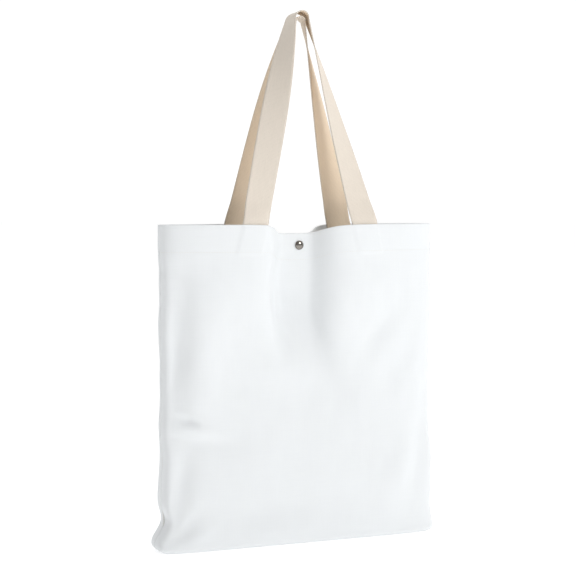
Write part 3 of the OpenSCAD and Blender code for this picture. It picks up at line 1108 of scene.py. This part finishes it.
class TOTE_OT_hem_stitches(bpy.types.Operator):
    """Sews the hem's stitch line, stitch by stitch"""

    bl_idname = "tote.hem_stitches"
    bl_label = "Hem Stitches"

    END_SHARE = 0.012
    STRIP_GAP = 0.004
    PROUD = 0.35

    def execute(self, context):
        self.bag = context.scene.tote_bag
        thread = finish_named("cotton_thread", cotton_thread, context.scene.tote_colours.thread)
        first, last = self.END_SHARE, 1 - self.END_SHARE
        front = self.row(PANELS[-1], first, last)
        show("front_hem_stitches", front, "front", [thread], ["front_hem_stitching"])
        middle = self.row(PANELS[1], SIDE_SHARE, 1 - SIDE_SHARE)
        show("rear_hem_stitches", middle, "rear", [thread], ["rear_hem_stitching"])
        beside = SIDE_SHARE - self.STRIP_GAP
        sides = self.row(PANELS[1], first, beside)
        sides = self.row(PANELS[1], 1 - beside, last, sides)
        piece = show("rear_side_stitches", sides, None, [thread])
        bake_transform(piece)
        return {"FINISHED"}

    def row(self, panel, first, last, bm=None):
        """Stitches from a first to a last share of the panel's width."""
        bm = bm or bmesh.new()
        height = self.bag.height - panel.stitch_depth()
        count = round((last - first) * panel.flat_width() / self.bag.stitch)
        pitch = (last - first) / count
        for index in range(count):
            start = first + pitch * (index + (1 - STITCH_SHARE) / 2)
            low, normal = panel.at(start, height)
            high, _ = panel.at(start + STITCH_SHARE * pitch, height)
            lift = normal * THREAD_RADIUS * self.PROUD
            add_stitch(bm, low + lift, high + lift, normal, THREAD_RADIUS)
        return bm


class TOTE_OT_webbing_handles(bpy.types.Operator):
    """Runs each handle's webbing from its sewn end over the fold to the other sewn end"""

    bl_idname = "tote.webbing_handles"
    bl_label = "Webbing Handles"

    BEND_START = (0, 0, HANDLE_HINGE_Z - 4 * MM)
    BEND_END = (0, 0, HANDLE_HINGE_Z + 18 * MM)
    END_ROWS = (5 * MM, 25 * MM)
    EDGE_MARGIN = 3 * MM
    STITCH_PITCH = 3 * MM

    def execute(self, context):
        handles = context.scene.tote_handles
        colours = context.scene.tote_colours
        outer = finish_named("webbing_face", cotton_webbing, colours.webbing, "webbing_face")
        # The inner faces get the painted-shade copy of the webbing's colour
        inner = finish_named("webbing_back", cotton_webbing, colours.webbing_back, "webbing_back")
        thread = finish_named("cotton_thread", cotton_thread, colours.thread)
        made = {
            "front": HandleForm(PANELS[-1], handles.front_fold, FRONT_TOP, handles.front_shift),
            "rear": HandleForm(PANELS[1], handles.rear_fold, REAR_TOP, 0),
        }
        for name, form in made.items():
            points, uvs = form.ribbon()
            bm = cloth_mesh(points, uvs)
            if name == "rear":
                bmesh.ops.reverse_faces(bm, faces=bm.faces)
            nodes = [name + "_handle", name + "_handle_ends"]
            piece = show(name + "_webbing", bm, None, [outer, inner], nodes)
            thicken(piece, handles.thickness, 0, inner_material=1)
            name + "_loop"
            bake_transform(piece)
            self.end_stitches(name, form, thread)
        return {"FINISHED"}

    def end_stitches(self, name, form, thread):
        """Two rows of stitches through each sewn end, on its inner face."""
        bm = bmesh.new()
        set_in = form.panel.bag.hem_thickness + form.HEM_GAP + form.handle.thickness
        for side in (-1, 1):
            for above_end in self.END_ROWS:
                z = FRONT_END_LOW.z + above_end
                x_middle = side * (form.feet[side] + (HANDLE_HINGE_Z - z) * math.tan(form.slope(side)))
                self.cross_row(bm, form, x_middle, z, set_in)
        show(name + "_handle_stitches", bm, name, [thread])

    def cross_row(self, bm, form, x_middle, z, set_in):
        """A row of stitches across the webbing, against the inside of the hem."""
        width = form.handle.width - 2 * self.EDGE_MARGIN
        normal = Vector((0, -form.face, 0))
        for index in range(round(width / self.STITCH_PITCH)):
            x = x_middle - width / 2 + self.STITCH_PITCH * index
            ends = [
                Vector((end, form.face * (form.panel.depth_at(end, z) - set_in), z))
                for end in (x, x + STITCH_SHARE * self.STITCH_PITCH)
            ]
            add_stitch(bm, *ends, normal, THREAD_RADIUS)


class TOTE_OT_press_snap(bpy.types.Operator):
    """Makes the snap's domed cap and rear button, and plates its inner parts"""

    bl_idname = "tote.press_snap"
    bl_label = "Press Snap"

    FACE_GAP = 0.1 * MM
    RIM = 0.5 * MM
    SHANK = [(1.5 * MM, 0), (1.5 * MM, -2.5 * MM)]

    def execute(self, context):
        bag = context.scene.tote_bag
        colours = context.scene.tote_colours
        dark = finish_named("dark_plate", plated_metal, colours.gunmetal, "dark_plate", 0.1)
        bright = finish_named("bright_plate", plated_metal, colours.nickel, "bright_plate", 0.22)
        steel = finish_named("spring_steel", plated_metal, colours.nickel, "spring_steel", 0.3)
        face = bag.hem_thickness + BagForm.SNAP_REACH + self.FACE_GAP
        dome = spun(self.domed(CAP_HIGH.x, -face - CAP_LOW.y), Vector((0, -face, SNAP_Z)), -1)
        show("snap_dome", dome, "front", [dark], ["snap_cap"])
        button = spun(self.ringed(BUTTON_HIGH.x, BUTTON_HIGH.y - face), Vector((0, face, SNAP_Z)), 1)
        show("snap_button", button, "rear", [dark], ["snap_post"])
        for node, finish in (("snap_socket", bright), ("snap_stud", bright), ("snap_spring", steel)):
            frame["nodes"][node].data.materials.clear()
            frame["nodes"][node].data.materials.append(finish)
        return {"FINISHED"}

    def domed(self, radius, height):
        """Profile of the cap: a crowned dome with a rolled rim."""
        rim = self.RIM
        crown = height - rim
        turns = np.linspace(0, math.pi / 2, 22)
        dome = [(radius * math.sin(turn), rim + crown * math.cos(turn) ** 1.05) for turn in turns[:-1]]
        roll = [
            (radius - rim + rim * math.cos(turn), rim + rim * math.sin(turn))
            for turn in np.linspace(0, -math.pi / 2, 7)
        ]
        return dome + roll + self.SHANK

    def ringed(self, radius, height):
        """Profile of the rear button: a flat head with a raised ring round its middle."""
        rim = height / 3
        rise = [(0.0, height * 0.55), (radius * 0.3, height * 0.5), (radius * 0.42, height * 0.85)]
        ring = [(radius * 0.6, height), (radius * 0.85, height * 0.9)]
        roll = [
            (radius - rim + rim * math.cos(turn), rim + rim * math.sin(turn))
            for turn in np.linspace(math.pi / 3, -math.pi / 2, 8)
        ]
        return rise + ring + roll + self.SHANK


class TOTE_OT_stage(bpy.types.Operator):
    """Lays the pale floor, and sets the soft light and the camera"""

    bl_idname = "tote.stage"
    bl_label = "Stage"

    DISTANCE = 2.0
    EYE_HEIGHT = 0.451
    AZIMUTH = math.radians(-22.15)
    TILT = math.radians(3.31)
    LENS = 94.8
    SHIFT = -0.0172
    FRONT_LIGHT = 0.41
    BACK_LIGHT = 1.08
    LIGHT_SIDE = (0.42, 0.9, 0)

    FLOOR_SIZE = 30
    DARK_FROM = -0.3
    BRIGHT_FROM = 0.6

    def execute(self, context):
        bm = bmesh.new()
        bmesh.ops.create_grid(bm, x_segments=4, y_segments=4, size=self.FLOOR_SIZE)
        floor = finish_named("pale_floor", pale_floor, context.scene.tote_colours.floor)
        show("floor", bm, materials=[floor])
        self.studio()
        context.scene.view_settings.view_transform = "Standard"
        self.lamp("key_light", (1.1, -2.4, 1.6), 1.2, 31)
        self.lamp("top_light", (0.2, 0.3, 2.6), 2.4, 14)
        self.camera()
        return {"FINISHED"}

    def studio(self):
        """A white studio whose soft light is weaker from the front and the left."""
        world = bpy.data.worlds.new("soft_studio")
        world.use_nodes = True
        nodes, links = world.node_tree.nodes, world.node_tree.links
        direction = nodes.new("ShaderNodeTexCoord")
        from_back = nodes.new("ShaderNodeVectorMath")
        from_back.operation = "DOT_PRODUCT"
        from_back.inputs[1].default_value = self.LIGHT_SIDE
        strength = nodes.new("ShaderNodeMapRange")
        strength.interpolation_type = "SMOOTHSTEP"
        strength.inputs["From Min"].default_value = self.DARK_FROM
        strength.inputs["From Max"].default_value = self.BRIGHT_FROM
        strength.inputs["To Min"].default_value = self.FRONT_LIGHT
        strength.inputs["To Max"].default_value = self.BACK_LIGHT
        links.new(direction.outputs["Generated"], from_back.inputs[0])
        links.new(from_back.outputs["Value"], strength.inputs["Value"])
        links.new(strength.outputs[0], nodes["Background"].inputs["Strength"])
        nodes["Background"].inputs["Color"].default_value = (1, 1, 1, 1)
        bpy.context.scene.world = world

    def lamp(self, name, place, size, power):
        data = bpy.data.lights.new(name, "AREA")
        data.shape = "DISK"
        data.size = size
        data.energy = power
        lamp = bpy.data.objects.new(name, data)
        lamp.location = place
        aim = Vector((0, 0, 0.3)) - lamp.location
        lamp.rotation_euler = aim.to_track_quat("-Z", "Y").to_euler()
        bpy.context.scene.collection.objects.link(lamp)

    def camera(self):
        data = bpy.data.cameras.new("camera")
        data.lens = self.LENS
        data.sensor_width = 36
        data.shift_x = self.SHIFT
        data.clip_end = 200
        camera = bpy.data.objects.new("camera", data)
        x = math.sin(self.AZIMUTH) * self.DISTANCE
        y = -math.cos(self.AZIMUTH) * self.DISTANCE
        camera.location = (x, y, self.EYE_HEIGHT)
        camera.rotation_euler = (math.pi / 2 - self.TILT, 0, self.AZIMUTH)
        bpy.context.scene.collection.objects.link(camera)
        bpy.context.scene.camera = camera


OPERATORS = (
    TOTE_OT_canvas_panels,
    TOTE_OT_overlocked_seams,
    TOTE_OT_hem_stitches,
    TOTE_OT_webbing_handles,
    TOTE_OT_press_snap,
    TOTE_OT_stage,
)


class TOTE_PT_pieces(bpy.types.Panel):
    """Lists the bag's pieces"""

    bl_idname = "TOTE_PT_pieces"
    bl_label = "Canvas Tote Bag"
    bl_space_type = "VIEW_3D"
    bl_region_type = "UI"
    bl_category = "Tote"

    def draw(self, context):
        for operator in OPERATORS:
            self.layout.operator(operator.bl_idname)
        for group in (context.scene.tote_bag, context.scene.tote_handles, context.scene.tote_colours):
            column = self.layout.column()
            for name in group.bl_rna.properties.keys():
                if name not in {"rna_type", "name"}:
                    column.prop(group, name)


SETTINGS = {"tote_bag": ToteBagSettings, "tote_handles": ToteHandleSettings, "tote_colours": ToteColours}
CLASSES = (*SETTINGS.values(), *OPERATORS, TOTE_PT_pieces)


def register():
    for cls in CLASSES:
        bpy.utils.register_class(cls)
    for name, group in SETTINGS.items():
        setattr(bpy.types.Scene, name, PointerProperty(type=group))


def unregister():
    for name in SETTINGS:
        delattr(bpy.types.Scene, name)
    for cls in reversed(CLASSES):
        bpy.utils.unregister_class(cls)


def main():
    register()
    for operator in OPERATORS:
        group, name = operator.bl_idname.split(".")
        getattr(getattr(bpy.ops, group), name)()
    bpy.context.view_layer.update()


if __name__ == "__main__":
    main()
